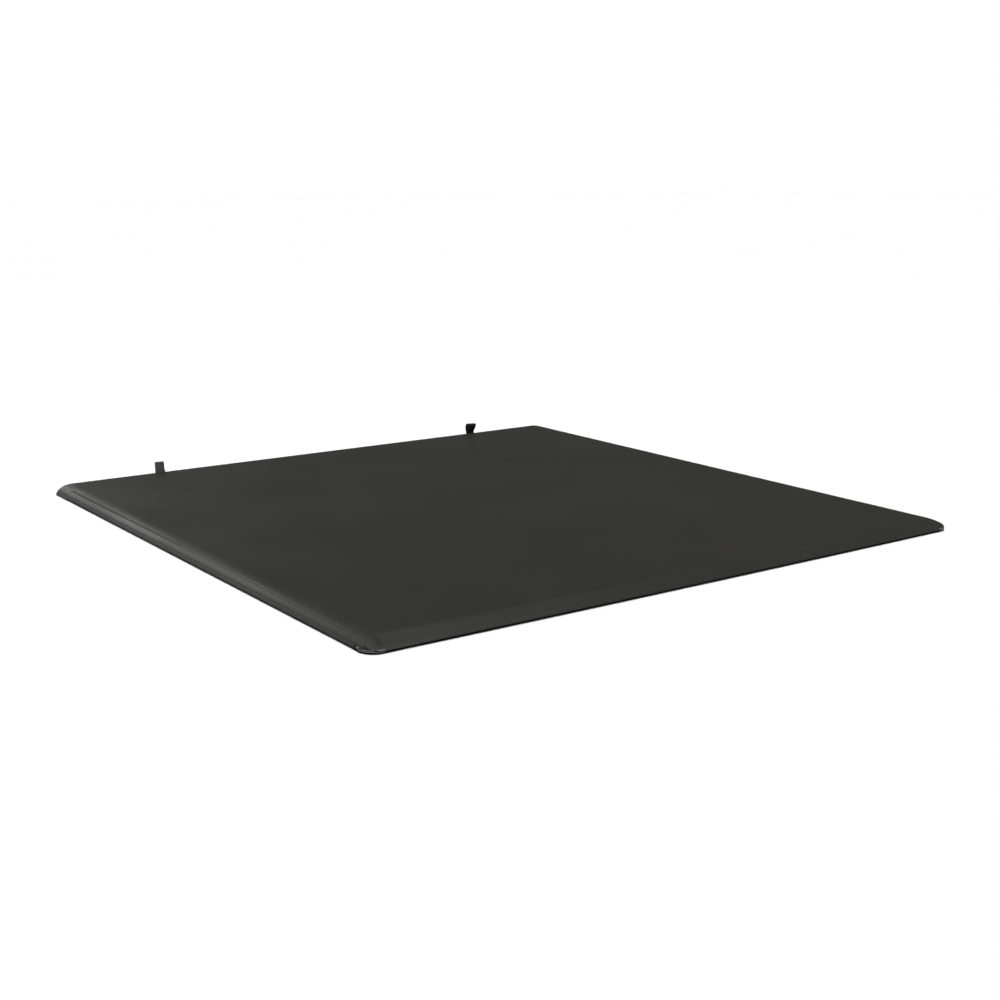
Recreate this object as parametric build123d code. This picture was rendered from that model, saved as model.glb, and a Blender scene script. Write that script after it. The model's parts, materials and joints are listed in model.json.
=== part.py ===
from build123d import *
import os

# Soft roll-up tonneau cover for a pickup bed, in millimetres.
# X is across the bed, +Y points at the cab and +Z is up. The origin is the middle of
# the footprint, on the plane that the rail seals rest on.
# A vinyl sheet is stretched over two aluminium side rails, a header bar at the cab end
# and a tail bar at the tailgate end. The sheet rolls up towards the cab. It is made here
# as a chain of short sections, each hinged to the next along its top face.

# ---- driving dimensions ----
half_width = 840.0  # outer edge of the side flaps
tail_edge = -843.0  # outer edge of the cover at the tailgate
cab_edge = 839.8  # outer face of the cover at the cab
cover_top = 28.0  # top face of the vinyl
flap_run = 47.0  # how far in from the edge the curved side slope reaches
tail_run = 57.0  # the same for the tail slope
tail_bulge = 3.0  # how far the tail slope stands out from a straight line
tail_corner_radius = 36.0  # plan radius of the two tail corners
hem_bottom = 2.0  # lower edge of the vinyl
vinyl = 1.2
wall = 2.0  # wall of the aluminium extrusions
seal_top = 3.0  # underside of the rails, where the rubber seals start
joint_gap = 0.1  # half of the slit between two sections of the cover

flap_centre = half_width - flap_run
rail_front, rail_back = 793.0, -787.0
rail_web = 768.0  # inner face of the side rail
shelf_edge, shelf_top = 789.0, 15.2
rail_inset = 3.0  # from the top of the vinyl to the rail's curved face
tape_inset = 1.8
header_back = 797.0

# Every hinge of the cover turns by the same angle. The sections grow from the tail bar
# outwards, so that each turn of the roll clears the one inside it.
first_hinge = 663.0
core_sections = [84.0, 77.0]  # the two beside the tail bar
growing_sections = 10
shortest_section, section_growth = 100.0, 6.0

bow_places = {"front": 430.0, "middle": 0.0, "rear": -430.0}
bow_width, bow_height, bow_top = 28.0, 8.0, 26.3
bow_half_length, bow_tip_end = 764.0, 786.0

strap_x = 540.0
strap_width, strap_layer = 25.0, 1.6
strap_top, strap_hinge_z = 57.0, 30.0

clamp_places = {"front": 620.0, "middle": 70.0, "rear": -580.0}
clamp_pivot = (757.0, 17.0)  # X and Z of the right side's hinge pins
clamp_reach = 75.0
clamp_screw_drop = 10.0  # from the pin's height to the screw's axis

knob_x, knob_z = 735.0, 13.5
latch_x, latch_z, latch_back = 780.0, 9.0, -815.0

sides = {"left": -1, "right": 1}


# ---- helpers ----
def along_y(face, y_from, y_to):
    """A prism between two Y planes, from a face drawn with X to the right and Z up."""
    plane = Plane(origin=(0, y_to, 0), x_dir=(1, 0, 0), z_dir=(0, -1, 0))
    return extrude(plane * face, amount=y_to - y_from)


def along_x(face, x_from, x_to):
    """A prism between two X planes, from a face drawn with Y to the right and Z up."""
    plane = Plane(origin=(x_from, 0, 0), x_dir=(0, 1, 0), z_dir=(1, 0, 0))
    return extrude(plane * face, amount=x_to - x_from)


def along_z(face, z_from, z_to):
    """An upright prism, from a face drawn in plan."""
    return extrude(Plane.XY.offset(z_from) * face, amount=z_to - z_from)


def rect(u_from, u_to, v_from, v_to):
    """A rectangle by its edges, in the two directions of the face."""
    middle = Pos((u_from + u_to) / 2, (v_from + v_to) / 2)
    return middle * Rectangle(u_to - u_from, v_to - v_from)


def box(x, y, z):
    """A box from three (low, high) pairs."""
    return along_z(rect(x[0], x[1], y[0], y[1]), z[0], z[1])


def rod(radius, start, direction, length):
    """A round bar from a point."""
    return extrude(Plane(origin=start, z_dir=direction) * Circle(radius), amount=length)


def on_side(shape, side):
    """The right-hand shape, or its mirror image for the left."""
    return shape if sides[side] > 0 else mirror(shape, about=Plane.YZ)


def both_sides(shape):
    return [on_side(shape, side) for side in sides]


def save(name, *shapes):
    """Writes one node. Several shapes stay separate solids in it."""
    solids = [solid for shape in shapes for solid in shape.solids()]
    whole = solids[0] if len(solids) == 1 else Compound(children=solids)
    export_step(whole, f"parts/{name}.step")


# ---- outlines ----
def side_outline(inset, bottom):
    """The cover's cross-section: a flat top with a quarter ellipse at each side."""
    run, rise = flap_run - inset, cover_top - inset
    slope = Ellipse(run, rise)
    whole = rect(-flap_centre, flap_centre, -rise, rise) + Pos(flap_centre, 0) * slope
    whole = whole + Pos(-flap_centre, 0) * slope
    return whole & rect(-half_width, half_width, bottom, cover_top)


def tail_slope_points(inset):
    """Lower end, bulged middle and upper end of the tail slope."""
    low = (tail_edge + inset, hem_bottom)
    high = (tail_edge + tail_run, cover_top - inset)
    run, rise = high[0] - low[0], high[1] - low[1]
    reach = (run**2 + rise**2) ** 0.5
    out = tail_bulge / reach
    middle = ((low[0] + high[0]) / 2 - rise * out, (low[1] + high[1]) / 2 + run * out)
    return low, middle, high


def tail_outline(inset, bottom, front):
    """The tail end in the YZ plane, as far forward as the given Y."""
    low, middle, high = tail_slope_points(inset)
    edges = Curve() + [
        ThreePointArc(low, middle, high),
        Line(high, (front, high[1])),
        Line((front, high[1]), (front, low[1] - hem_bottom)),
        Line((front, low[1] - hem_bottom), (low[0], low[1] - hem_bottom)),
        Line((low[0], low[1] - hem_bottom), low),
    ]
    return make_face(edges) & rect(tail_edge, front, bottom, cover_top)


def tail_plan(inset, front):
    """The tail end in plan, a hair oversize so that only its two rounded corners cut."""
    margin = 0.2
    edge, back = half_width - inset + margin, tail_edge + inset - margin
    plain = rect(-edge, edge, back, front)
    return fillet(plain.vertices().sort_by(Axis.Y)[:2], tail_corner_radius - inset)


def tail_form(inset, bottom, front):
    """The tail end's outer form: side slopes, tail slope and rounded corners together."""
    form = along_y(side_outline(inset, bottom), tail_edge, front)
    form = form & along_x(tail_outline(inset, bottom, front), -half_width, half_width)
    return form & along_z(tail_plan(inset, front), bottom, cover_top)


# ---- the vinyl cover ----
def cover_sheet():
    """The cross-section of the vinyl: its top and its two side flaps."""
    return side_outline(0, hem_bottom) - side_outline(vinyl, 0)


def section_lengths():
    """Lengths of the hinged sections, from the header to the tail bar."""
    steps = reversed(range(growing_sections))
    return [shortest_section + step * section_growth for step in steps] + core_sections


def hinge_places():
    """Y of each hinge line, from the header to the tail bar."""
    places = [first_hinge]
    for length in section_lengths():
        places.append(places[-1] - length)
    return places


def make_cover():
    sheet = cover_sheet()
    hinges = hinge_places()
    front = along_y(sheet, first_hinge + joint_gap, cab_edge)
    lip_end = cab_edge - vinyl
    front = front + box((-flap_centre, flap_centre), (lip_end, cab_edge), (6.0, cover_top))
    save("cover_front_section", front)
    for number, (start, end) in enumerate(zip(hinges, hinges[1:]), 1):
        piece = along_y(sheet, end + joint_gap, start - joint_gap)
        save(f"cover_section_{number:02d}", piece)
    tail_front = hinges[-1] - joint_gap
    shell = tail_form(0, hem_bottom, tail_front) - tail_form(vinyl, 0, tail_front)
    save("cover_tail_section", shell)


# ---- side rails ----
def rail_outline(inset):
    """One hollow rail: curved outer face, top, a low shelf for the bows and an inner web."""
    curve = side_outline(rail_inset + inset, seal_top + inset)
    outer = curve & rect(shelf_edge + inset, half_width, seal_top + inset, cover_top)
    shelf = rect(rail_web + inset, shelf_edge + 2 * inset, seal_top + inset, shelf_top - inset)
    return outer + shelf


def ribbed_seal(low, high):
    """A rubber strip with three flat-footed ribs under it."""
    strip = rect(low, high, 1.6, seal_top)
    rib, middle = 4.0, (low + high) / 2
    for foot in (low + rib / 2, middle, high - rib / 2):
        strip = strip + rect(foot - rib / 2, foot + rib / 2, 0, 1.8)
    return strip


def make_rails():
    profile = rail_outline(0) - rail_outline(wall)
    rail = along_y(profile, rail_back, rail_front)
    for side in sides:
        save(f"side_rail_{side}", on_side(rail, side))
    save("rail_seals", *both_sides(along_y(ribbed_seal(782, 836), rail_back, rail_front)))
    tape = side_outline(tape_inset, 6.0) - side_outline(rail_inset, 0)
    tape = tape & rect(flap_centre, half_width, 6.0, 23.0)
    save("hook_tapes", *both_sides(along_y(tape, rail_back, rail_front)))
    plug_flange, plug_depth, slack = 2.4, 20.0, 0.15
    plug = along_y(rail_outline(0), rail_back - plug_flange, rail_back)
    plug = plug + along_y(rail_outline(wall + slack), rail_back, rail_back + plug_depth)
    pocket = box(
        (latch_x - 7, latch_x + 7),
        (rail_back - plug_flange, rail_back + 14),
        (latch_z - 3.4, latch_z + 3.4),
    )
    save("rail_end_plugs", *both_sides(plug - pocket))


# ---- header at the cab end ----
def make_header():
    front = cab_edge - vinyl - 0.4
    top = cover_top - vinyl - 0.6
    bar = rect(header_back, front, seal_top, top)
    bar = fillet(bar.vertices().sort_by(Axis.Y)[-1], 4.0)
    hollow = rect(header_back + wall, front - wall, seal_top + wall, top - wall)
    save("header_bar", along_x(bar - hollow, -rail_web, rail_web))
    seal = ribbed_seal(header_back + 3, front - 3)
    seal_end = rail_web - 24
    save("header_seal", along_x(seal, -seal_end, seal_end))

    block = along_y(side_outline(tape_inset, seal_top), rail_front, front)
    block = block & box((rail_web, half_width), (rail_front, front), (0, cover_top))
    slack, depth = 0.15, 20.0
    into_rail = along_y(rail_outline(wall + slack), rail_front - depth, rail_front)
    inside = wall + slack
    into_header = box(
        (rail_web - depth, rail_web),
        (header_back + inside, front - inside),
        (seal_top + inside, top - inside),
    )
    save("header_corner_blocks", *both_sides(block + into_rail + into_header))

    screws = []
    for x in (rail_web - 12, rail_web + 12):
        head = rod(4.2, (x, 818, seal_top - 1.6), (0, 0, 1), 1.5)
        screws += both_sides(head)
    save("header_corner_screws", *screws)

    bracket = box((knob_x - 14, knob_x + 14), (791, header_back), (4.5, 22.5))
    bracket = bracket - rod(4.2, (knob_x, 780, knob_z), (0, 1, 0), 20)
    save("tension_brackets", *both_sides(bracket))
    for side in sides:
        save(f"tension_knob_{side}", on_side(tension_knob(), side))


def tension_knob():
    """A six-lobed knob on a stub of threaded rod, in front of its bracket."""
    grip = Circle(7.2)
    for spot in PolarLocations(6.2, 6):
        grip = grip + spot * Circle(2.3)
    plane = Plane(origin=(knob_x, 790.4, knob_z), x_dir=(1, 0, 0), z_dir=(0, -1, 0))
    knob = extrude(plane * grip, amount=13)
    return knob + rod(4.15, (knob_x, 789, knob_z), (0, 1, 0), 7.5)


# ---- tail bar ----
def make_tail():
    inset = vinyl + 1.2
    cap_start, tail_rest = 760.0, (-839.0, -805.0)
    tail_front, cap_front = hinge_places()[-1] - 1.0, rail_back - 3.6
    bottom = seal_top + 0.5
    shape = tail_outline(inset, bottom, tail_front)
    inner = tail_outline(inset + wall, bottom + wall, tail_front - wall)
    save("tail_bar", along_x(shape - inner, -cap_start, cap_start))
    seal = ribbed_seal(*tail_rest) + rect(*tail_rest, seal_top - 0.2, bottom)
    save("tail_seal", along_x(seal, -cap_start, cap_start))

    cap = tail_form(inset, bottom, tail_front)
    lip = along_z(tail_plan(0.6, tail_front), 0.4, 1.8)
    neck = along_z(tail_plan(5.0, tail_front), 1.6, bottom + 0.2)
    cap_space = box((cap_start, half_width), (tail_edge, cap_front), (0, cover_top))
    cap = (cap + lip + neck) & cap_space
    slack = 0.15
    spigot_inset = inset + wall + slack
    spigot = tail_outline(spigot_inset, bottom + wall + slack, tail_front - wall - slack)
    cap = cap + along_x(spigot, cap_start - 22, cap_start)
    channel = box(
        (latch_x - 6.3, latch_x + 6.3),
        (latch_back - 1, cap_front),
        (latch_z - 3.0, latch_z + 3.0),
    )
    tab_slot = box((latch_x - 3.4, latch_x + 3.4), (latch_back - 1, cap_front), (0, latch_z))
    screw_place = (cap_start + 8, -806, 2.0)
    counterbore = rod(4.0, screw_place, (0, 0, -1), 2.0)
    save("tail_end_caps", *both_sides(cap - channel - tab_slot - counterbore))
    save("tail_cap_screws", *both_sides(rod(3.6, screw_place, (0, 0, -1), 1.4)))
    for side in sides:
        save(f"latch_bolt_{side}", on_side(latch_bolt(cap_front), side))


def latch_bolt(cap_front):
    """A flat bolt with a rounded nose and a thumb tab under it."""
    nose = rect(latch_x - 6, latch_x + 6, latch_back, cap_front)
    nose = fillet(nose.vertices().sort_by(Axis.Y)[-2:], 4.0)
    bolt = along_z(nose, latch_z - 2.7, latch_z + 2.7)
    tab = box((latch_x - 3, latch_x + 3), (latch_back, latch_back + 9), (1.0, latch_z))
    return bolt + tab


# ---- bows ----
def make_bows():
    for name, y in bow_places.items():
        low, high = bow_top - bow_height, bow_top
        edge = bow_width / 2
        outer = fillet(rect(y - edge, y + edge, low, high).vertices(), 2.0)
        inner = rect(y - edge + wall, y + edge - wall, low + wall, high - wall)
        save(f"crossbow_{name}", along_x(outer - inner, -bow_half_length, bow_half_length))
        tip = along_x(outer, bow_half_length, bow_tip_end)
        foot = box((shelf_edge - 18, bow_tip_end), (y - 10, y + 10), (shelf_top + 0.4, low + 1))
        save(f"crossbow_tips_{name}", *both_sides(tip + foot))


# ---- storage straps ----
def make_straps():
    face = cab_edge + 0.2
    low, high = strap_x - strap_width / 2, strap_x + strap_width / 2
    anchor = box((low, high), (face, face + strap_layer), (8.0, cover_top))
    save("strap_anchors", *both_sides(anchor))
    head = rod(5.0, (strap_x, face + strap_layer, 16.0), (0, 1, 0), 1.4)
    save("strap_screws", *both_sides(head))
    depth = 2 * strap_layer - 0.2
    outline = rect(face, face + depth, strap_hinge_z + 0.4, strap_top)
    outline = fillet(outline.vertices().sort_by(Axis.Y)[-2:], 0.8)
    for side in sides:
        save(f"strap_loop_{side}", on_side(along_x(outline, low, high), side))
    hank = box((low, high), (742, header_back), (3.0, 12.6))
    save("cinch_straps", *both_sides(fillet(hank.edges().filter_by(Axis.X), 4.0)))


# ---- swing-down rail clamps ----
def clamp_block(y):
    """A clevis screwed to the rail's inner web."""
    pivot_x, pivot_z = clamp_pivot
    plate = box((rail_web - 4, rail_web), (y - 15, y + 15), (4.0, 14.6))
    ears = []
    for low in (y - 15, y + 10.4):
        ear = rect(pivot_x - 5.5, rail_web, 4.0, 14.6) + Pos(pivot_x, pivot_z) * Circle(5.5)
        ear = ear + rect(pivot_x - 5.5, pivot_x + 5.5, 10.0, pivot_z)
        ears.append(along_y(ear, low, low + 4.6))
    block = plate + ears[0] + ears[1]
    return block - rod(3.0, (pivot_x, y - 20, pivot_z), (0, 1, 0), 40)


def clamp_arm(y):
    """The arm folded inwards under the cover, with its jaw pointing down."""
    pivot_x, pivot_z = clamp_pivot
    jaw_x = pivot_x - clamp_reach
    arm = Pos(pivot_x, pivot_z) * Circle(4.5)
    arm = arm + rect(jaw_x - 5, pivot_x, pivot_z - 2.5, pivot_z + 2.5)
    arm = arm + rect(jaw_x - 5, jaw_x, 1.5, pivot_z)
    solid = along_y(arm, y - 10, y + 10)
    solid = solid - rod(3.05, (pivot_x, y - 20, pivot_z), (0, 1, 0), 40)
    screw_z = pivot_z - clamp_screw_drop
    return solid - rod(4.05, (jaw_x - 10, y, screw_z), (1, 0, 0), 20)


def clamp_screw(y):
    """The pressure screw: a hexagon head, a shank and a round pad that meets the bed flange."""
    pivot_x, pivot_z = clamp_pivot
    jaw_x, screw_z = pivot_x - clamp_reach, pivot_z - clamp_screw_drop
    travel = 24.0
    start = (jaw_x - 5 - travel - 2, y, screw_z)
    shank = rod(4.0, start, (1, 0, 0), travel + 24)
    head_plane = Plane(origin=start, x_dir=(0, 1, 0), z_dir=(-1, 0, 0))
    head = extrude(head_plane * RegularPolygon(6.5, 6, rotation=30), amount=6)
    pad = rod(5.4, (start[0] + travel + 24, y, screw_z), (1, 0, 0), 3)
    return shank + head + pad


def make_clamps():
    pivot_x, pivot_z = clamp_pivot
    blocks, pins, screws = [], [], []
    for place, y in clamp_places.items():
        blocks += both_sides(clamp_block(y))
        pins += both_sides(rod(2.98, (pivot_x, y - 16.2, pivot_z), (0, 1, 0), 32.4))
        for across in (-6.0, 6.0):
            head = rod(2.6, (rail_web - 4, y + across, 8.0), (-1, 0, 0), 1.6)
            screws += both_sides(head)
        for side in sides:
            save(f"clamp_arm_{side}_{place}", on_side(clamp_arm(y), side))
            save(f"clamp_screw_{side}_{place}", on_side(clamp_screw(y), side))
    save("clamp_hinge_blocks", *blocks)
    save("clamp_hinge_pins", *pins)
    save("clamp_block_screws", *screws)


os.makedirs("parts", exist_ok=True)
make_cover()
make_rails()
make_header()
make_tail()
make_bows()
make_straps()
make_clamps()
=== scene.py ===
import json
import math

import bmesh
import bpy
import numpy as np
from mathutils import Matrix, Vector


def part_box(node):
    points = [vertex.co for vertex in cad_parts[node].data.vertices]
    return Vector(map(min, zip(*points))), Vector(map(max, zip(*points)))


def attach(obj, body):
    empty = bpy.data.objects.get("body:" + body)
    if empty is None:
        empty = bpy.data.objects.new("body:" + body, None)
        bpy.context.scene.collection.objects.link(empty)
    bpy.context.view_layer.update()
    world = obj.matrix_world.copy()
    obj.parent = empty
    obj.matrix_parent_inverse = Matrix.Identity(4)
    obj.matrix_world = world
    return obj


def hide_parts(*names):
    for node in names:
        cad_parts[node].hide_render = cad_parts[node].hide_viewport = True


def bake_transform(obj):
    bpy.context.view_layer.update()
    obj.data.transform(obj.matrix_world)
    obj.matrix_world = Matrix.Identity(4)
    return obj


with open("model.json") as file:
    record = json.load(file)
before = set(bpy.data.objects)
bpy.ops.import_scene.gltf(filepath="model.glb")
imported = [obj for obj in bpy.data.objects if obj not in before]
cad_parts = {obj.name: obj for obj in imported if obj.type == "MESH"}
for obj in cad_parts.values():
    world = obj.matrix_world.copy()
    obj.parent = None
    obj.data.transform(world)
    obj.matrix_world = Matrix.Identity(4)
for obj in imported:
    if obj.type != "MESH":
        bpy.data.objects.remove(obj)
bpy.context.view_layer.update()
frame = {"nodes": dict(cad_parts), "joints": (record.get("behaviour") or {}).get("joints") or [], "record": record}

# Soft roll-up tonneau cover. Metres, in the imported model's frame: X is across the bed, +Y points
# at the cab and +Z is up. The vinyl is one sheet, made as strips that each span one hinge.

MM = 0.001
nodes = frame["nodes"]
joints = {joint["name"]: joint for joint in frame["joints"]}

# ---- the cover's form, as the CAD has it ----
half_width = 840 * MM
cover_top = 28 * MM
hem_bottom = 2 * MM
flap_run = 47 * MM
flap_centre = half_width - flap_run
sides = {"left": -1, "right": 1}
cab_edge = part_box("cover_front_section")[1].y
tail_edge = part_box("cover_tail_section")[0].y
tail_run = 57 * MM
tail_slope = 46 * MM  # the pulled-down part of it, below a soft crease
tail_break = tail_edge + tail_run  # where the top turns down to the tailgate
corner_radius = 36 * MM
vinyl = 1.2 * MM

roll_joints = ["cover_roll"] + [f"cover_roll_{n:02d}" for n in range(2, 13)] + ["cover_roll_tail"]
hinges = [joints[name]["pos_m"][1] for name in roll_joints]
bow_lines = [430 * MM, 0.0, -430 * MM]


def smooth(value, start, end):
    """0 before start, 1 after end, and an S curve between them. Start may be above end."""
    t = np.clip((value - start) / (end - start), 0, 1)
    return t * t * (3 - 2 * t)


def bell(value, middle, spread):
    """1 at the middle, falling away on both sides."""
    return np.exp(-(((value - middle) / spread) ** 2))


# ---- materials ----
class Finish:
    """A procedural material. A pattern's height drives its colour, its gloss and its bump."""

    def __init__(self, name, **constants):
        self.material = bpy.data.materials.new(name)
        self.material.use_nodes = True
        self.tree = self.material.node_tree
        self.surface = self.tree.nodes["Principled BSDF"]
        for socket, value in constants.items():
            self.surface.inputs[socket.replace("_", " ")].default_value = value

    def add(self, kind, inputs=(), **settings):
        """A node with its settings and inputs. An input is a value, or another node's output."""
        node = self.tree.nodes.new(kind)
        for name, value in settings.items():
            setattr(node, name, value)
        for name, value in dict(inputs).items():
            if isinstance(value, bpy.types.NodeSocket):
                self.tree.links.new(value, node.inputs[name])
            else:
                node.inputs[name].default_value = value
        return node

    def place(self, stretch=(1, 1, 1), attribute=None):
        """Where a texture is looked up: on the piece at rest, so that it doesn't slide in a pose."""
        if attribute:
            where = self.add("ShaderNodeAttribute", attribute_name=attribute).outputs["Vector"]
        else:
            where = self.add("ShaderNodeTexCoord").outputs["Object"]
        return self.add("ShaderNodeMapping", {"Vector": where, "Scale": stretch}).outputs["Vector"]

    def noise(self, where, scale, detail=3.0, roughness=0.5):
        inputs = {"Vector": where, "Scale": scale, "Detail": detail, "Roughness": roughness}
        return self.add("ShaderNodeTexNoise", inputs).outputs["Fac"]

    def cells(self, where, scale, smoothness=0.6):
        inputs = {"Vector": where, "Scale": scale, "Smoothness": smoothness}
        return self.add("ShaderNodeTexVoronoi", inputs, feature="SMOOTH_F1").outputs["Distance"]

    def waves(self, where, scale, direction):
        inputs = {"Vector": where, "Scale": scale, "Distortion": 0.0}
        return self.add("ShaderNodeTexWave", inputs, bands_direction=direction).outputs["Fac"]

    def maths(self, operation, a, b):
        return self.add("ShaderNodeMath", {0: a, 1: b}, operation=operation).outputs[0]

    def blended(self, a, share_a, b, share_b):
        """Two patterns added in the given shares."""
        scaled = [self.maths("MULTIPLY", a, share_a), self.maths("MULTIPLY", b, share_b)]
        return self.maths("ADD", *scaled)

    def span(self, value, low, high, to_low=0.0, to_high=1.0):
        """A value taken from one range to another, and held at the ends."""
        inputs = {"Value": value, "From Min": low, "From Max": high}
        inputs.update({"To Min": to_low, "To Max": to_high})
        return self.add("ShaderNodeMapRange", inputs).outputs["Result"]

    def colour(self, factor, dark, light):
        ramp = self.add("ShaderNodeValToRGB", {"Fac": factor})
        ramp.color_ramp.elements[0].color = (*dark, 1)
        ramp.color_ramp.elements[1].color = (*light, 1)
        return ramp.outputs["Color"]

    def mixed(self, factor, a, b):
        """Two colours mixed. The node has a set of sockets for each kind of data, told by number."""
        factor_socket, a_socket, b_socket, colour_output = 0, 6, 7, 2
        inputs = {factor_socket: factor, a_socket: a, b_socket: b}
        return self.add("ShaderNodeMix", inputs, data_type="RGBA").outputs[colour_output]

    def done(self, colour, roughness, height, depth):
        """Joins the pattern to the shader. Depth is the bump's real depth in metres."""
        self.tree.links.new(colour, self.surface.inputs["Base Color"])
        self.tree.links.new(roughness, self.surface.inputs["Roughness"])
        bump = self.add("ShaderNodeBump", {"Height": height, "Distance": depth, "Strength": 1.0})
        self.tree.links.new(bump.outputs["Normal"], self.surface.inputs["Normal"])
        return self.material


def vinyl_material():
    """Matte charcoal vinyl with a fine leather grain, rubbed a little smoother on its folds, and lighter there:
    wear on the crease, and on the hems also a painted highlight.
    """
    finish = Finish("vinyl", Specular_IOR_Level=0.22)
    where = finish.place(attribute="rest")
    grain = finish.cells(where, 620)
    fine = finish.noise(where, 1500, 2.0)
    height = finish.blended(grain, 0.8, fine, 0.2)
    broad = finish.noise(where, 3.1, 3.0)
    wear_and_highlight = finish.add("ShaderNodeAttribute", attribute_name="wear_and_highlight").outputs["Fac"]
    darker, lighter = (0.0155, 0.0153, 0.0140), (0.0195, 0.0192, 0.0174)
    base = finish.colour(finish.span(broad, 0.3, 0.7), darker, lighter)
    # Painted highlight: the colour turns lighter where the mask is high, partly for real wear and partly for light
    # caught on the hem's fold.
    wear_and_highlight_tone = finish.mixed(wear_and_highlight, base, (0.026, 0.026, 0.025, 1))
    shaded = finish.mixed(finish.span(grain, 0.05, 0.6, 0.0, 0.25), wear_and_highlight_tone, (0.008, 0.008, 0.0075, 1))
    gloss = finish.span(broad, 0.3, 0.7, 0.44, 0.52)
    gloss = finish.maths("SUBTRACT", gloss, finish.maths("MULTIPLY", wear_and_highlight, 0.14))
    return finish.done(shaded, gloss, height, 0.07 * MM)


def backing_material():
    """The sheet's underside: a black polyester scrim that shows through a thin coat."""
    finish = Finish("vinyl_backing", Specular_IOR_Level=0.2)
    where = finish.place(attribute="rest")
    across = finish.waves(where, 180, "X")
    along = finish.waves(where, 180, "Y")
    weave = finish.maths("MAXIMUM", across, along)
    broad = finish.noise(where, 8, 3.0)
    tone = finish.colour(finish.span(broad, 0.3, 0.7), (0.018, 0.018, 0.019), (0.030, 0.030, 0.031))
    shaded = finish.mixed(finish.span(weave, 0.4, 1.0, 0.0, 0.5), tone, (0.052, 0.052, 0.054, 1))
    return finish.done(shaded, finish.span(weave, 0.0, 1.0, 0.75, 0.6), weave, 0.15 * MM)


def webbing_material(name, dark, light, attribute=None):
    """Flat polyester webbing: ribs along the strap and a slanting weft across them."""
    finish = Finish(name, Specular_IOR_Level=0.25, Sheen_Weight=0.08)
    where = finish.place(attribute=attribute)
    ribs = finish.waves(where, 150, "X")
    weft = finish.waves(where, 260, "DIAGONAL")
    weave = finish.maths("MULTIPLY", ribs, finish.span(weft, 0.0, 1.0, 0.55, 1.0))
    fluff = finish.noise(where, 420, 3.0)
    height = finish.maths("ADD", weave, finish.maths("MULTIPLY", fluff, 0.3))
    gloss = finish.span(height, 0, 1.2, 0.9, 0.7)
    return finish.done(finish.colour(height, dark, light), gloss, height, 0.3 * MM)


def thread_material():
    """Bonded sewing thread, with its twist."""
    finish = Finish("thread", Specular_IOR_Level=0.3)
    where = finish.place(attribute="rest")
    twist = finish.waves(where, 700, "DIAGONAL")
    return finish.done(
        finish.colour(twist, (0.010, 0.010, 0.010), (0.028, 0.028, 0.027)),
        finish.span(twist, 0, 1, 0.7, 0.5), twist, 0.05 * MM,
    )


def coated_material(name, dark, light, rough, depth, scale=900, **constants):
    """Powder coat or moulded plastic: a fine even texture with soft blotches under it."""
    finish = Finish(name, **constants)
    where = finish.place()
    fine = finish.noise(where, scale, 3.0)
    broad = finish.noise(where, 14, 3.0)
    tone = finish.blended(fine, 0.45, broad, 0.55)
    gloss = finish.span(broad, 0.3, 0.7, rough - 0.06, rough + 0.06)
    shade = finish.colour(finish.span(tone, 0.35, 0.65), dark, light)
    return finish.done(shade, gloss, fine, depth)


def metal_material(name, dark, light, rough, stretch, scale=90):
    """Bare metal. Stretch draws its marks out along one axis, as an extrusion die does."""
    finish = Finish(name, Metallic=1.0)
    where = finish.place(stretch)
    lines = finish.noise(where, scale, 6.0, 0.6)
    blotch = finish.noise(finish.place(), 9, 3.0)
    tone = finish.blended(lines, 0.6, blotch, 0.4)
    gloss = finish.span(lines, 0.25, 0.75, rough - 0.08, rough + 0.12)
    shade = finish.colour(finish.span(tone, 0.35, 0.65), dark, light)
    return finish.done(shade, gloss, lines, 0.05 * MM)


def pile_material(name, dark, light, attribute=None):
    """Hook or loop tape: a dense field of tiny tufts in rows."""
    finish = Finish(name, Specular_IOR_Level=0.2, Sheen_Weight=0.15)
    where = finish.place(attribute=attribute)
    tufts = finish.cells(where, 900, 0.2)
    fluff = finish.noise(where, 500, 4.0)
    height = finish.maths("SUBTRACT", finish.maths("MULTIPLY", fluff, 0.8), tufts)
    tone = finish.colour(finish.span(height, -0.4, 0.5), dark, light)
    return finish.done(tone, finish.span(fluff, 0.2, 0.8, 0.95, 0.8), height, 0.35 * MM)


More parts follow.
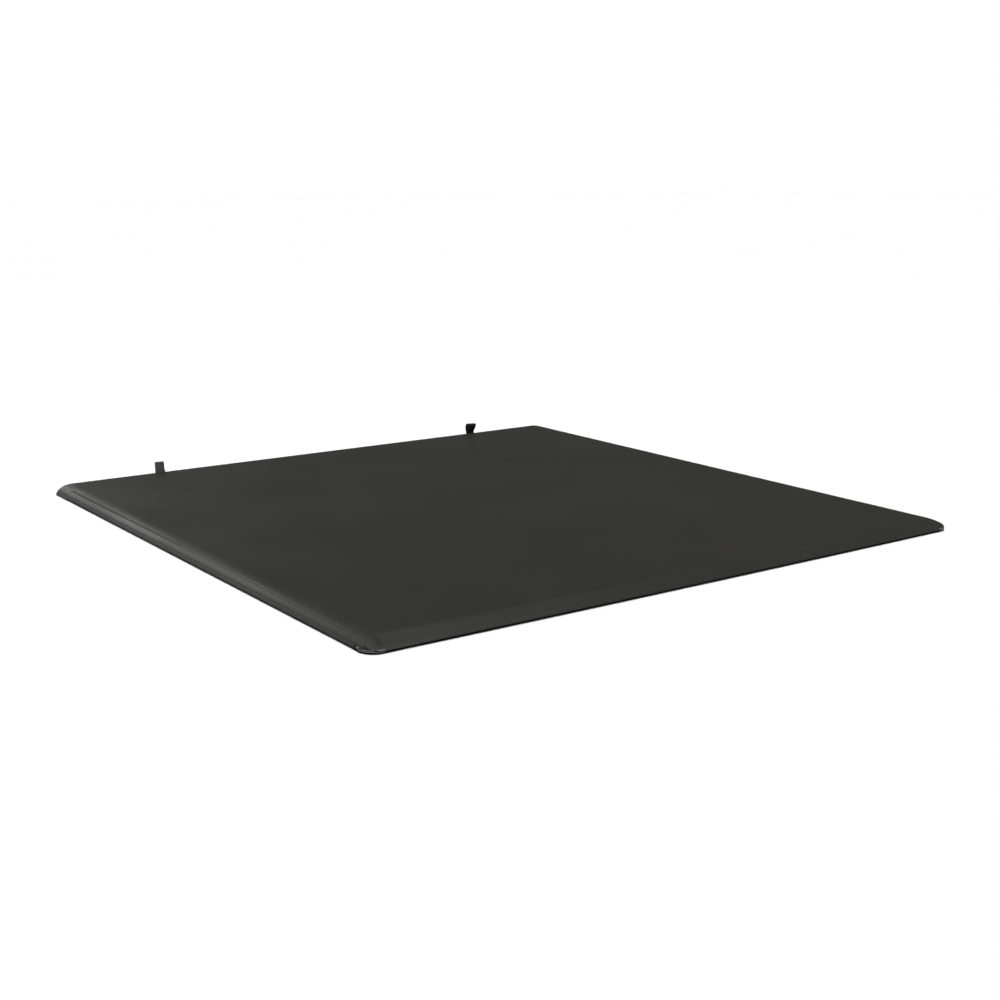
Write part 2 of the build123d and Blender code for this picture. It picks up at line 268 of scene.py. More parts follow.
finishes = {
    "vinyl": vinyl_material(),
    "backing": backing_material(),
    "thread": thread_material(),
    "loop_tape": pile_material("loop_tape", (0.008, 0.008, 0.008), (0.040, 0.040, 0.042), "rest"),
    "hook_tape": pile_material("hook_tape", (0.006, 0.006, 0.006), (0.034, 0.034, 0.036)),
    "grey_webbing": webbing_material("grey_webbing", (0.13, 0.13, 0.128), (0.36, 0.36, 0.355), "rest"),
    "webbing": webbing_material("webbing", (0.003, 0.003, 0.003), (0.016, 0.016, 0.016), "rest"),
    "black_aluminium": coated_material(
        "black_aluminium", (0.012, 0.012, 0.013), (0.020, 0.020, 0.021), 0.42, 0.04 * MM
    ),
    "cap_plastic": coated_material(
        "cap_plastic", (0.004, 0.004, 0.004), (0.008, 0.008, 0.008), 0.26, 0.015 * MM,
        Specular_IOR_Level=0.3,
    ),
    # The rim's light grey is a painted highlight: the real lip is black plastic with a glint on it.
    "cap_rim_highlight": coated_material(
        "cap_rim_highlight", (0.16, 0.16, 0.16), (0.24, 0.24, 0.24), 0.16, 0.01 * MM, Specular_IOR_Level=0.9,
    ),
    "moulded_plastic": coated_material(
        "moulded_plastic", (0.010, 0.010, 0.010), (0.018, 0.018, 0.018), 0.45, 0.05 * MM
    ),
    "seal_rubber": coated_material(
        "seal_rubber", (0.003, 0.003, 0.003), (0.007, 0.007, 0.007), 0.8, 0.08 * MM, 500,
        Specular_IOR_Level=0.08,
    ),
    "mill_aluminium": metal_material(
        "mill_aluminium", (0.40, 0.41, 0.42), (0.62, 0.63, 0.64), 0.36, (0.04, 1, 1)
    ),
    "cast_aluminium": metal_material(
        "cast_aluminium", (0.34, 0.34, 0.35), (0.55, 0.55, 0.56), 0.5, (1, 1, 1), 420
    ),
    "zinc_steel": metal_material(
        "zinc_steel", (0.42, 0.42, 0.40), (0.66, 0.65, 0.60), 0.33, (1, 1, 1), 260
    ),
}


# ---- the vinyl's surface ----
def arc_table():
    """Angles of the side slope's quarter ellipse and the length along it from the top."""
    angles = np.linspace(0, math.acos(hem_bottom / cover_top), 400)
    steps = np.hypot(np.diff(flap_run * np.sin(angles)), np.diff(cover_top * np.cos(angles)))
    return angles, np.concatenate([[0], np.cumsum(steps)])


arc_angles, arc_lengths = arc_table()
flap_length = arc_lengths[-1]
rings = np.linspace(0, 1, 57)  # across the slopes, from the top to the hem, evenly along the side's arc
ring_angles = np.interp(rings * flap_length, arc_lengths, arc_angles)
ring_reach = np.sin(ring_angles) / math.sin(arc_angles[-1])


def length_at_height(z):
    """The length along the side slope from the top down to a height."""
    return float(np.interp(math.acos(z / cover_top), arc_angles, arc_lengths))


hem_stitch = length_at_height(11.0 * MM)
upper_seam = length_at_height(22.6 * MM)
seam_start = 765 * MM
raised_hem = 5.0 * MM  # the sewn hem stops short of the floor, except at the cab corners
cab_drop = 19 * MM  # how far the sheet turns down over the cab end


def hem_height(y):
    """The side hem's height, which drops to the floor at the cab corners."""
    cab_hem = 1.0 * MM
    at_cab = smooth(y, seam_start - 14 * MM, seam_start + 6 * MM)
    return raised_hem + (cab_hem - raised_hem) * at_cab


def hem_reach(z):
    """How far out from the top's edge the side slope is at a height."""
    return flap_run * np.sqrt(1 - (z / cover_top) ** 2)


tail_round = 3.0 * MM  # the fold along the tail's hem


def tail_edge_at(x):
    """The tail hem bows outwards a little between its corners."""
    bow = 4.0 * MM
    return tail_edge - bow * np.clip(1 - (x / flap_centre) ** 2, 0, 1)


def tail_height(x, y):
    """The tail's slope, carried on past the top. It is less steep at the right corner."""
    hem_lift, bulge, over_top = 4.0 * MM, 1.0 * MM, 0.9 * MM
    run = tail_slope + (tail_run - tail_slope) * smooth(x, 350 * MM, flap_centre)
    t = (y - tail_edge_at(x)) / run
    rise = cover_top - hem_bottom - hem_lift + over_top
    arc = np.where(t < 1, 4 * bulge * t * (1 - t), -4 * bulge * (t - 1))
    return hem_bottom + hem_lift + rise * t + arc


def side_height(x):
    """The quarter ellipse of the side flaps, level across the top."""
    out = np.clip((np.abs(x) - flap_centre) / flap_run, 0, 1)
    return cover_top * np.sqrt(1 - out**2)


def softer_low(a, b, softness):
    """The lower of two heights, with the fold between them rounded."""
    low = np.minimum(a, b)
    return low - softness * np.log1p(np.exp(-np.abs(a - b) / softness))


def bed_relief(x, y):
    """The stretched top over the open bed: high on the bows and sagging between them."""
    inside = smooth(np.abs(x), flap_centre, flap_centre - 120 * MM)
    inside = inside * smooth(y, tail_break - 14 * MM, tail_break + 230 * MM)
    inside = inside * smooth(y, cab_edge, cab_edge - 110 * MM)
    sag, bow_rise, wave_rise = 0.7 * MM, 0.45 * MM, 0.22 * MM
    bows = sum(bow_rise * bell(y, line, 26 * MM) for line in bow_lines)
    waves = wave_rise * np.sin(x / (190 * MM) + 1.3) * np.sin(y / (150 * MM) + 0.4)
    return (bows - sag + waves) * inside


def corner_relief(x, y, side, strength):
    """Folds that fan out from one tail corner of the top, and the hollow beside its ridge."""
    fold_rise, hollow_depth = 0.5 * MM, 2.0 * MM
    across, ahead = flap_centre - side * x, y - tail_break
    away, turn = np.hypot(across, ahead), np.arctan2(ahead, across)
    fan = smooth(turn, -0.2, 0.3) * smooth(turn, 3.0, 2.0)
    folds = np.sin(11 * turn + 0.8) * bell(away, 48 * MM, 26 * MM) * fan
    hollow = smooth(across, -20 * MM, -2 * MM) * smooth(across, 170 * MM, 30 * MM)
    hollow = hollow * bell(y, tail_break - 30 * MM, 16 * MM)
    return strength * (fold_rise * folds - hollow_depth * hollow)


def top_relief(x, y):
    """How far the stretched top leaves a flat plane. It dips inside the rails towards the tail."""
    inward = flap_centre - np.abs(x)
    dip = smooth(inward, 2 * MM, 30 * MM) * smooth(inward, 200 * MM, 50 * MM)
    dip = dip * smooth(y, 350 * MM, -500 * MM) * smooth(y, tail_break - 10 * MM, tail_break + 60 * MM)
    corners = corner_relief(x, y, -1, 1.0) + corner_relief(x, y, 1, 0.7)
    return bed_relief(x, y) - 1.3 * MM * dip + corners


def height(x, y):
    """The top of the vinyl at a point in plan."""
    fold_softness = 1.8 * MM
    return softer_low(side_height(x), tail_height(x, y), fold_softness) + top_relief(x, y)


def side_marks(y, arc):
    """Offsets along the slope's normal: a sewn hem, its stitch groove and the seam above it.
    The seam starts in a pucker short of the cab corner, and fades out towards the tail."""
    groove = -0.55 * MM * bell(arc, hem_stitch, 0.9 * MM)
    hem = 0.35 * MM * smooth(arc, hem_stitch, hem_stitch + 2 * MM)
    seam = -1.5 * MM * bell(arc, upper_seam, 1.2 * MM)
    seam = seam + 0.4 * MM * bell(arc, upper_seam - 3 * MM, 2 * MM)
    panel = -0.45 * MM * smooth(arc, upper_seam, upper_seam + 1.5 * MM)
    panel = panel * smooth(arc, hem_stitch, hem_stitch - 12 * MM)
    strength = smooth(y, seam_start, seam_start - 4 * MM)
    strength = strength * (0.4 + 0.6 * smooth(y, -400 * MM, 700 * MM))
    strength = strength * smooth(y, tail_break, tail_break + 110 * MM)
    pucker = -1.6 * MM * bell(y, seam_start - 3 * MM, 5 * MM)
    pucker = pucker * bell(arc, upper_seam + 1.5 * MM, 2.5 * MM)
    roll = 0.5 * MM * bell(arc, upper_seam - 5 * MM, 4 * MM)
    roll = roll * smooth(y, seam_start, seam_start + 8 * MM)
    return groove + hem + strength * (seam + panel) + pucker + roll


def band(inner, outer, edge_round, hem_z, side_weight):
    """Points of the slopes. Each station runs from the top's edge (inner) out to the hem (outer).
    The edge round is how far in from the hem the surface starts to turn down to it."""
    reach = ring_reach[None, :, None]
    plan = inner[:, None, :] + (outer - inner)[:, None, :] * reach
    x, y = plan[..., 0], plan[..., 1]
    z = height(x, y)
    run = np.linalg.norm(outer - inner, axis=1)[:, None]
    to_edge = run * (1 - ring_reach[None, :])
    share = np.clip(to_edge / np.maximum(edge_round[:, None], 1e-9), 0, 1)
    turned = np.sqrt(np.clip(1 - (1 - share) ** 2, 0, 1))
    bottom = hem_z[:, None]
    z = np.where(edge_round[:, None] > 0, bottom + (z - bottom) * turned, z)
    angles = np.arcsin(np.clip((np.abs(x) - flap_centre) / flap_run, 0, 1))
    arc = np.interp(angles, arc_angles, arc_lengths)
    marks = side_marks(y, arc) * side_weight[:, None]
    normal_out, normal_up = np.sin(angles) / flap_run, np.cos(angles) / cover_top
    length = np.hypot(normal_out, normal_up)
    x = x + np.sign(x) * marks * normal_out / length
    z = z + marks * normal_up / length
    return np.stack([x, y, z], axis=-1)


def side_band(side, ys):
    """What band() needs along one side flap."""
    hem = hem_height(ys)
    inner = np.stack([np.full_like(ys, side * flap_centre), ys], axis=1)
    outer = np.stack([side * (flap_centre + hem_reach(hem)), ys], axis=1)
    return inner, outer, np.zeros_like(ys), hem, np.ones_like(ys)


def notch(y):
    """How far the side flap's hem lifts at the cut where the end cap's rim begins."""
    middle, half_width_of_cut, rise = tail_break - 8 * MM, 4.2 * MM, 8.0 * MM
    return rise * np.clip(1 - np.abs(y - middle) / half_width_of_cut, 0, 1)


def corner_outline(side):
    """The hem's plan round one tail corner, from the side flap to the tail."""
    outer_x, outer_y = flap_centre + hem_reach(raised_hem), tail_edge
    centre_x, centre_y = outer_x - corner_radius, outer_y + corner_radius
    straight = np.linspace(tail_break, centre_y, 22)[1:]
    points = [(flap_centre + hem_reach(raised_hem + notch(y)), y) for y in straight]
    for angle in np.linspace(0, math.pi / 2, 25)[1:]:
        across, back = math.cos(angle), math.sin(angle)
        points.append((centre_x + corner_radius * across, centre_y - corner_radius * back))
    points += [(x, outer_y) for x in np.linspace(centre_x, flap_centre, 5)[1:-1]]
    return np.array([(side * x, y) for x, y in points])


def corner_band(side):
    """What band() needs round one tail corner, where the hem lifts clear of the end cap's rim."""
    outer = corner_outline(side)
    inner = np.tile([side * flap_centre, tail_break], (len(outer), 1))
    progress = np.linspace(0, 1, len(outer))
    corner_round, rim_gap = 5 * MM, 4.0 * MM
    rounding = np.maximum(
        corner_round * np.sin(np.pi * progress), tail_round * smooth(progress, 0.3, 0.9)
    )
    lifted = rim_gap * smooth(progress, 0.30, 0.45) * smooth(progress, 0.95, 0.75)
    on_side = progress < 0.5
    hem = raised_hem + lifted + notch(outer[:, 1]) * on_side
    weight = smooth(outer[:, 1], tail_break - 10 * MM, tail_break - 5 * MM)
    return inner, outer, rounding, hem, weight


def tail_band(xs):
    """What band() needs along the tail."""
    inner = np.stack([xs, np.full_like(xs, tail_break)], axis=1)
    outer = np.stack([xs, tail_edge_at(xs)], axis=1)
    rounding, hem = np.full_like(xs, tail_round), np.full_like(xs, raised_hem)
    return inner, outer, rounding, hem, np.zeros_like(xs)


# ---- meshes ----
class Build:
    """Collects blocks of points into one mesh."""

    def __init__(self):
        self.points, self.faces, self.count = [], [], 0

    def block(self, points):
        rows, columns = points.shape[:2]
        index = np.arange(rows * columns).reshape(rows, columns) + self.count
        corners = [index[:-1, :-1], index[1:, :-1], index[1:, 1:], index[:-1, 1:]]
        self.faces += np.stack(corners, axis=-1).reshape(-1, 4).tolist()
        self.points.append(points.reshape(-1, 3))
        self.count += rows * columns

    def mesh(self, name):
        mesh = bpy.data.meshes.new(name)
        mesh.from_pydata(np.concatenate(self.points).tolist(), [], self.faces)
        work = bmesh.new()
        work.from_mesh(mesh)
        bmesh.ops.remove_doubles(work, verts=work.verts, dist=1e-6)
        bmesh.ops.recalc_face_normals(work, faces=work.faces)
        if sum(face.normal.z * face.calc_area() for face in work.faces) < 0:
            bmesh.ops.reverse_faces(work, faces=work.faces)
        work.to_mesh(mesh)
        work.free()
        return mesh


def add_object(name, mesh, materials):
    piece = bpy.data.objects.new(name, mesh)
    bpy.context.scene.collection.objects.link(piece)
    for key in materials:
        mesh.materials.append(finishes[key])
    return piece


def apply_modifiers(piece):
    bpy.context.view_layer.update()
    evaluated = piece.evaluated_get(bpy.context.evaluated_depsgraph_get())
    final = bpy.data.meshes.new_from_object(evaluated)
    piece.modifiers.clear()
    piece.data = final
    return piece


def store_rest(piece):
    """Keeps each point's place at rest, so that textures stay on the cloth when it bends."""
    points = np.empty(len(piece.data.vertices) * 3, np.float32)
    piece.data.vertices.foreach_get("co", points)
    attribute = piece.data.attributes.new("rest", "FLOAT_VECTOR", "POINT")
    attribute.data.foreach_set("vector", points)
    return points.reshape(-1, 3)


def shade_smooth(piece, angle=40):
    piece.data.shade_smooth()
    piece.data.set_sharp_from_angle(angle=math.radians(angle))


def thicken(piece, thickness):
    """Gives a sheet its thickness on the inner side, with the backing material there."""
    shell = piece.modifiers.new("shell", "SOLIDIFY")
    shell.thickness = thickness
    shell.offset = -1
    shell.use_even_offset = True
    shell.material_offset = 1
    return apply_modifiers(piece)


top_columns = np.linspace(-flap_centre, flap_centre, 150)


def row_places(start, end, spacing=10 * MM, extra=()):
    """Y of a strip's rows, evenly spaced, with extra rows where the surface turns fast."""
    count = max(2, int(round(abs(end - start) / spacing)) + 1)
    rows = set(np.linspace(start, end, count)) | {y for y in extra if end < y < start}
    return np.array(sorted(rows, reverse=True))


def top_block(rows):
    x, y = np.meshgrid(top_columns, rows)
    return np.stack([x, y, height(x, y)], axis=-1)


def cab_wrap(build):
    """The sheet turned down over the cab end, round the header and its corner blocks."""
    turn = 4 * MM
    insets = [(turn * (1 - math.cos(a)), turn * math.sin(a)) for a in np.linspace(0, math.pi / 2, 7)]
    insets += [(inset, turn) for inset in np.linspace(turn, cab_drop, 9)[1:]]
    rows, flaps = [], {-1: [], 1: []}
    for inset, out in insets:
        y = cab_edge - turn + out
        fade = max(0.0, 1 - inset / turn)
        edge = np.full_like(top_columns, y)
        lift = top_relief(top_columns, edge) * fade
        rows.append(np.stack([top_columns, edge, cover_top - inset + lift], axis=1))
        run, rise = flap_run - inset, cover_top - inset
        angles = ring_angles * math.acos(float(hem_height(y)) / rise) / ring_angles[-1]
        arc = np.interp(angles, arc_angles, arc_lengths)
        marks = side_marks(np.full_like(rings, y), arc) * fade
        normal_out, normal_up = np.sin(angles) / run, np.cos(angles) / rise
        length = np.hypot(normal_out, normal_up)
        x = flap_centre + run * np.sin(angles) + marks * normal_out / length
        z = rise * np.cos(angles) + marks * normal_up / length
        for side, flap in flaps.items():
            flap.append(np.stack([side * x, np.full_like(x, y), z], axis=1))
    build.block(np.array(rows))
    for flap in flaps.values():
        build.block(np.array(flap))


def wear_and_highlight_marks(points):
    """Where handling has rubbed the grain smoother: the hem, the folds and the tail crease. The same mask lightens
    the vinyl's colour, which on the hems is a painted highlight.
    """
    x, y, z = points.T
    crease = bell(y, tail_break - 2 * MM, 5 * MM) * smooth(np.abs(x), flap_centre + 10 * MM, flap_centre)
    hem = bell(z, hem_bottom, 2.2 * MM) * 0.8
    tail_hem = bell(y, tail_edge, 6 * MM) * 0.9
    return np.clip(0.35 * crease + hem + tail_hem, 0, 1)


def stitch_row(work, spots, along, outward, size, material):
    """Raised stitches: short rounded threads that dip into the cloth at both ends. The size is
    each one's length and the radius of its thread."""
    facets = 6
    for spot, run, up in zip(spots, along, outward):
        across = np.cross(run, up)
        loops = []
        for t in (-0.5, -0.36, -0.15, 0.15, 0.36, 0.5):
            radius = size[1] * (1 - (2 * t) ** 4 * 0.75)
            centre = spot + run * size[0] * t - up * size[1] * 1.6 * (2 * t) ** 2
            loop = []
            for step in range(facets):
                angle = 2 * math.pi * step / facets
                point = centre + radius * (math.cos(angle) * across + math.sin(angle) * up)
                loop.append(work.verts.new(point))
            loops.append(loop)
        made = [work.faces.new(loops[0][::-1]), work.faces.new(loops[-1])]
        for one, two in zip(loops, loops[1:]):
            for step in range(facets):
                after = (step + 1) % facets
                made.append(work.faces.new((one[step], one[after], two[after], two[step])))
        for face in made:
            face.material_index = material
            face.smooth = True


def hem_stitches(start, end, pitch=5.2 * MM):
    """Places of the hem's stitches on one strip, on both sides."""
    angle = float(np.interp(hem_stitch, arc_lengths, arc_angles))
    normal = np.array([math.sin(angle) / flap_run, 0, math.cos(angle) / cover_top])
    normal = normal / np.linalg.norm(normal)
    count = range(math.ceil(end / pitch), math.floor(start / pitch) + 1)
    places = [number * pitch for number in count]
    depth = 0.40 * MM
    for side in (-1, 1):
        out = normal * (side, 1, 1)
        for y in places:
            if end + 2.2 * MM < y < start - 2.2 * MM:
                point = np.array([
                    side * (flap_centre + flap_run * math.sin(angle)), y, cover_top * math.cos(angle)
                ])
                yield point - out * depth, np.array([0.0, 1.0, 0.0]), out


def finish_strip(piece, start, end):
    """Thickness, tape on the inside of the flaps, stitches, and what the textures need."""
    thicken(piece, vinyl)
    work = bmesh.new()
    work.from_mesh(piece.data)
    for face in work.faces:
        middle = face.calc_center_median()
        inside = face.material_index == strip_materials.index("backing")
        beside_rail = abs(middle.x) > flap_centre and middle.y > tail_break
        if inside and beside_rail and 6 * MM < middle.z < 22 * MM:
            face.material_index = strip_materials.index("loop_tape")
    stitches = hem_stitches(start, end)
    stitch_row(work, *zip(*stitches), (3.4 * MM, 0.42 * MM), strip_materials.index("thread"))
    work.to_mesh(piece.data)
    work.free()
    points = store_rest(piece)
    # The wear mask, which also paints a highlight along the hems.
    wear_and_highlight = piece.data.attributes.new("wear_and_highlight", "FLOAT", "POINT")
    wear_and_highlight.data.foreach_set("value", wear_and_highlight_marks(points).astype(np.float32))
    shade_smooth(piece)
    return piece


strip_materials = ["vinyl", "backing", "thread", "loop_tape"]  # a face's material is its place here
middles = [(one + two) / 2 for one, two in zip(hinges, hinges[1:])]
strip_ends = [cab_edge] + middles + [tail_edge]
turned_down = 18 * MM  # the sheet's extra length over the cab end


def cover_strip(number):
    """One strip of the cover, from the middle of one section to the middle of the next."""
    start, end = strip_ends[number], strip_ends[number + 1]
    build = Build()
    first, last = number == 0, number == len(hinges) - 1
    row_start = start - 4 * MM if first else start
    row_end = tail_break if last else end
    extra = [seam_start + step * MM for step in (-12, -8, -6, -4, -2, 0, 2, 4, 8)]
    extra += [tail_break + step * MM for step in (1.5, 3, 5, 7.5)]
    rows = row_places(row_start, row_end, extra=extra)
    build.block(top_block(rows))
    if last:
        right_corner = [part[::-1] for part in corner_band(1)]
        stations = [side_band(-1, rows), corner_band(-1), tail_band(top_columns)]
        stations += [right_corner, side_band(1, rows[::-1])]
        build.block(band(*[np.concatenate(parts) for parts in zip(*stations)]))
    else:
        for side in (-1, 1):
            build.block(band(*side_band(side, rows)))
    if first:
        cab_wrap(build)
    mesh = build.mesh(f"cover_strip_{number + 1:02d}")
    piece = add_object(mesh.name, mesh, strip_materials)
    stitch_end = tail_break + 2 * MM if last else end
    finish_strip(piece, min(start, seam_start + 38 * MM), stitch_end)
    return piece


for number, hinge in enumerate(hinges):
    strip = cover_strip(number)
    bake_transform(strip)
    stands_for = [f"cover_section_{number:02d}"] if number else ["cover_front_section"]
    if number == len(hinges) - 1:
        stands_for.append("cover_tail_section")
    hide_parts(*stands_for)
    length = strip_ends[number] - strip_ends[number + 1]
    if number == 0:
        length += turned_down


# ---- webbing ----
def ribbon(name, path, half_widths, thickness, materials, leans=None, turns=None):
    """A flat strap along a path in the YZ plane, with rounded selvedges. Leans slide it across
    and turns twist it about an upright line."""
    leans = np.zeros(len(path)) if leans is None else leans
    turns = np.zeros(len(path)) if turns is None else turns
    ahead = np.gradient(path, axis=0)
    ahead = ahead / np.linalg.norm(ahead, axis=1)[:, None]
    normals = np.stack([-ahead[:, 1], ahead[:, 0]], axis=1)
    around = np.linspace(0, 2 * math.pi, 37)[:-1]
    flat = np.sign(np.cos(around)) * np.abs(np.cos(around)) ** 0.25
    thick = np.sign(np.sin(around)) * np.abs(np.sin(around)) ** 0.6
    loops = []
    for (y, z), (ny, nz), width, lean, turn in zip(path, normals, half_widths, leans, turns):
        offset = thick * thickness / 2
        across = flat * width
        x = lean + across * math.cos(turn)
        loops.append(np.stack([x, y + ny * offset - across * math.sin(turn), z + nz * offset], axis=1))
    loops = np.array(loops)
    rows, columns = loops.shape[:2]
    index = np.arange(rows * columns).reshape(rows, columns)
    after = np.roll(index, -1, axis=1)
    quads = np.stack([index[:-1], after[:-1], after[1:], index[1:]], axis=-1).reshape(-1, 4).tolist()
    quads += [index[0][::-1].tolist(), index[-1].tolist()]
    mesh = bpy.data.meshes.new(name)
    mesh.from_pydata(loops.reshape(-1, 3).tolist(), [], quads)
    piece = add_object(name, mesh, materials)
    work = bmesh.new()
    work.from_mesh(mesh)
    bmesh.ops.recalc_face_normals(work, faces=work.faces)
    work.to_mesh(mesh)
    work.free()
    return piece


def resample(points, spacing):
    """Points evenly spaced along a smooth curve through the given ones."""
    points = np.asarray(points, float)
    dense = []
    padded = np.vstack([2 * points[0] - points[1], points, 2 * points[-1] - points[-2]])
    for a, b, c, d in zip(padded, padded[1:], padded[2:], padded[3:]):
        for t in np.linspace(0, 1, 24, endpoint=False):
            dense.append(
                0.5 * (2 * b + (c - a) * t + (2 * a - 5 * b + 4 * c - d) * t**2
                       + (3 * b - a - 3 * c + d) * t**3)
            )
    dense = np.array(dense + [points[-1]])
    lengths = np.concatenate([[0], np.cumsum(np.linalg.norm(np.diff(dense, axis=0), axis=1))])
    count = max(4, int(lengths[-1] / spacing))
    spots = np.linspace(0, lengths[-1], count)
    return np.stack([np.interp(spots, lengths, dense[:, k]) for k in range(2)], axis=1)


def storage_strap(side, low_x, high_x, open_loop):
    """A webbing loop sewn to the cab end, standing up behind the cover's edge."""
    layer = 1.3 * MM
    face = cab_edge + 0.95 * MM
    gap = layer + 0.25 * MM
    middle, half = (low_x + high_x) / 2, (high_x - low_x) / 2
    up = [(face, 8.5 * MM), (face, 20 * MM), (face, 29 * MM)]
    down = [(face + gap, 29 * MM), (face + gap, 20 * MM), (face + gap, 9.5 * MM)]
    if open_loop:
        shape = [(-0.6, 38), (-1.6, 46), (-1.2, 53), (2.0, 57.6)]
        shape += [(7.0, 57.2), (9.6, 51.5), (8.4, 43), (4.2, 35)]
    else:
        shape = [(0, 36), (-0.1, 46), (0, 56.2), (0.8, 57.8), (1.6, 56.2), (1.6, 46), (1.55, 36)]
    bend = [(face + out * MM, z * MM) for out, z in shape]
    path = resample(up + bend + down, 1.1 * MM)
    rise = smooth(path[:, 1], 30 * MM, 57 * MM)
    if open_loop:
        widths, turns = np.full_like(rise, half), 0.30 * rise
        leans = middle + 6.5 * MM * rise
        # Painted shade: the open loop takes the black webbing, darker than the closed loop's grey, for its side
        # turned away from the light.
        finish = "webbing"
    else:
        foot = bell(path[:, 1], 30 * MM, 4 * MM)
        widths, turns = half * (1 - 0.05 * rise) + 0.8 * MM * foot, 0.08 * rise
        leans = middle - 0.8 * MM * rise + 0.8 * MM * foot
        finish = "grey_webbing"
    materials = [finish, "thread"]
    strap = ribbon(f"storage_strap_{side}", path, widths, layer, materials, leans, turns)
    work = bmesh.new()
    work.from_mesh(strap.data)
    spots, runs, ups = [], [], []
    back = face + gap + layer / 2
    low_z, high_z = 11 * MM, 25 * MM
    ends = (middle - 9 * MM, middle + 9 * MM)
    corners = [(ends[0], low_z), (ends[1], low_z), (ends[1], high_z), (ends[0], high_z)]
    lines = list(zip(corners, corners[1:] + corners[:1]))
    lines += [(corners[0], corners[2]), (corners[1], corners[3])]
    for (x1, z1), (x2, z2) in lines:
        count = int(math.hypot(x2 - x1, z2 - z1) / (2.6 * MM))
        run = np.array([x2 - x1, 0.0, z2 - z1])
        run = run / np.linalg.norm(run)
        for t in (np.arange(count) + 0.5) / count:
            spots.append(np.array([x1 + (x2 - x1) * t, back, z1 + (z2 - z1) * t]))
            runs.append(run)
            ups.append(np.array([0.0, 1.0, 0.0]))
    stitch_row(work, spots, runs, ups, (2.0 * MM, 0.3 * MM), materials.index("thread"))
    work.to_mesh(strap.data)
    work.free()
    store_rest(strap)
    shade_smooth(strap, 50)
    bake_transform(strap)
    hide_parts("strap_anchors", f"strap_loop_{side}")


storage_strap("left", -548 * MM, -520 * MM, open_loop=False)
storage_strap("right", 527.5 * MM, 556.5 * MM, open_loop=True)


def cinch_hank(side, sign, low_x, high_x):
    """The strap that ties the rolled cover, wound flat and stowed behind the header."""
    box_low, box_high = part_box("cinch_straps")
    centre_y, centre_z = (box_low.y + box_high.y) / 2, (box_low.z + box_high.z) / 2
    layer, turns = 1.25 * MM, 3
    run = (box_high.y - box_low.y) / 2 - 4.8 * MM
    points, steps = [], 28
    for step in range(turns * steps):
        angle = 2 * math.pi * step / steps
        radius = 1.0 * MM + layer * 1.05 * step / steps
        y = centre_y + run * math.copysign(min(1, abs(math.cos(angle)) * 1.6), math.cos(angle))
        points.append((y + radius * math.cos(angle), centre_z + radius * math.sin(angle)))
    path = resample(points, 2.0 * MM)
    half = (high_x - low_x) / 2
    piece = ribbon(f"cinch_strap_{side}", path, np.full(len(path), half), layer * 0.85, ["webbing"])
    for vertex in piece.data.vertices:
        vertex.co.x += sign * (low_x + high_x) / 2
    store_rest(piece)
    shade_smooth(piece, 50)
    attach(piece, "frame")
    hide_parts("cinch_straps")


for side, sign in sides.items():
    cinch_hank(side, sign, 527.5 * MM, 552.5 * MM)


def cap_rim_highlight(side, sign):
    """The end cap's rim: two beads round the corner, between the vinyl's hem and the floor. Their light grey is a
    painted highlight, the glint along the black cap's stepped lip.
    """
    outline = corner_outline(sign)
    steps = np.linalg.norm(np.diff(outline, axis=0), axis=1)
    lengths = np.concatenate([[0], np.cumsum(steps)])
    past_notch, short_of_tail = 13.5 * MM, 3 * MM
    spots = np.linspace(past_notch, lengths[-1] - short_of_tail, 60)
    path = np.stack([np.interp(spots, lengths, outline[:, k]) for k in range(2)], axis=1)
    centre = np.array([sign * (flap_centre + 8 * MM), tail_edge + corner_radius + 4 * MM])
    inwards = centre - path
    inwards = inwards / np.linalg.norm(inwards, axis=1)[:, None]
    taper = np.sqrt(np.clip(np.sin(np.pi * np.linspace(0, 1, len(spots))) * 6, 0.02, 1))
    build = Build()
    for level, radius, inset in ((7.6 * MM, 0.9 * MM, 1.5 * MM), (4.4 * MM, 0.8 * MM, 1.3 * MM)):
        loops = []
        for angle in np.linspace(0, 2 * math.pi, 13):
            out = inset - radius * taper * math.cos(angle)
            up = level + radius * taper * math.sin(angle)
            loops.append(np.column_stack([path + inwards * out[:, None], up]))
        build.block(np.array(loops))
    piece = add_object(f"cap_rim_highlight_{side}", build.mesh(f"cap_rim_highlight_{side}"), ["cap_rim_highlight"])
    shade_smooth(piece, 60)
    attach(piece, "tail")


for side, sign in sides.items():
    cap_rim_highlight(side, sign)


# ---- CAD pieces that stay, with their finishes ----
for part in frame["record"]["subparts"]:
    for place in nodes[part["node"]].material_slots:
        place.material = finishes[part["material_slot"]]


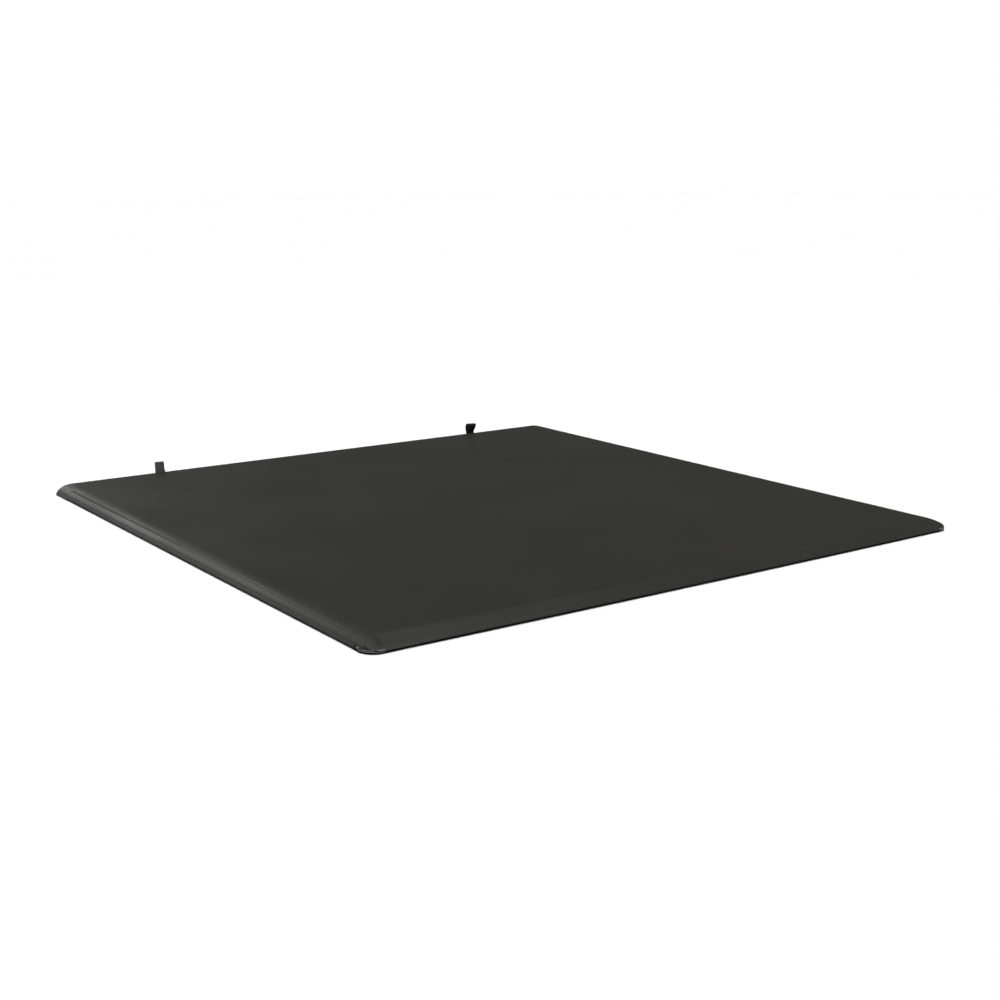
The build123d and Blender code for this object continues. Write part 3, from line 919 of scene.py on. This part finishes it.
# ---- studio ----
def studio():
    """A pale floor in a room that is dark but for its zenith. Past the floor the camera sees white."""
    bpy.ops.mesh.primitive_grid_add(x_subdivisions=2, y_subdivisions=2, size=60)
    floor = bpy.context.object
    floor.name = "floor"
    finish = Finish("floor_paper", Specular_IOR_Level=0.0)
    where = finish.place()
    mottle = finish.noise(where, 0.7)
    floor.data.materials.append(
        finish.done(finish.colour(mottle, (0.835, 0.835, 0.835), (0.855, 0.855, 0.855)),
                    finish.span(mottle, 0, 1, 0.9, 1.0), mottle, 0.0)
    )

    world = bpy.data.worlds.new("studio")
    bpy.context.scene.world = world
    world.use_nodes = True
    tree = world.node_tree
    sky = tree.nodes["Background"]
    out = tree.nodes["World Output"]
    direction = tree.nodes.new("ShaderNodeTexCoord")
    split = tree.nodes.new("ShaderNodeSeparateXYZ")
    ramp = tree.nodes.new("ShaderNodeValToRGB")
    tree.links.new(direction.outputs["Generated"], split.inputs[0])
    tree.links.new(split.outputs["Z"], ramp.inputs["Fac"])
    tree.links.new(ramp.outputs["Color"], sky.inputs["Color"])
    stops = ramp.color_ramp.elements
    horizon, zenith = 0.019, 1.0
    stops[0].position, stops[0].color = 0.0, (horizon, horizon, horizon, 1)
    stops[1].position, stops[1].color = 1.0, (zenith, zenith, zenith, 1)
    between = [(0.26, horizon), (0.36, 0.0033), (0.46, 0.0033), (0.56, 0.035)]
    between += [(0.64, 0.03), (0.74, 0.012), (0.86, 0.012)]
    for position, tone in between:
        stops.new(position).color = (tone, tone, tone, 1)
    sky.inputs["Strength"].default_value = 8.0
    plain = tree.nodes.new("ShaderNodeBackground")
    plain.inputs["Strength"].default_value = 1.0
    plain.inputs["Color"].default_value = (1, 1, 1, 1)
    path = tree.nodes.new("ShaderNodeLightPath")
    mix = tree.nodes.new("ShaderNodeMixShader")
    tree.links.new(path.outputs["Is Camera Ray"], mix.inputs[0])
    tree.links.new(sky.outputs[0], mix.inputs[1])
    tree.links.new(plain.outputs[0], mix.inputs[2])
    tree.links.new(mix.outputs[0], out.inputs["Surface"])


def area_light(name, place, target, size, power):
    """A soft lamp turned to its target, which the camera doesn't see."""
    lamp = bpy.data.lights.new(name, "AREA")
    lamp.shape = "RECTANGLE"
    lamp.size, lamp.size_y = size
    lamp.energy = power
    holder = bpy.data.objects.new(name, lamp)
    holder.location = place
    holder.rotation_euler = (Vector(target) - Vector(place)).to_track_quat("-Z", "Y").to_euler()
    holder.visible_camera = False
    bpy.context.scene.collection.objects.link(holder)


def camera():
    """The photograph's view: from the left and the tail, low over the cover."""
    lens = bpy.data.cameras.new("camera")
    lens.lens = 53.39
    lens.sensor_width = 36
    lens.clip_start, lens.clip_end = 0.05, 200
    holder = bpy.data.objects.new("camera", lens)
    holder.location = (-2.1576, -3.1119, 0.8963)
    aim = Vector((0.1205, 0.0811, 0.0)) - holder.location
    holder.rotation_euler = aim.to_track_quat("-Z", "Y").to_euler()
    bpy.context.scene.collection.objects.link(holder)
    bpy.context.scene.camera = holder


camera()
studio()
area_light("back", (-1.1, 4.7, 2.1), (-0.8, 0.0, 0), (2.2, 1.0), 44)
area_light("left", (-3.2, 2.6, 0.8), (-0.8, -0.1, 0), (1.6, 0.8), 14)
bpy.context.scene.view_settings.view_transform = "Standard"
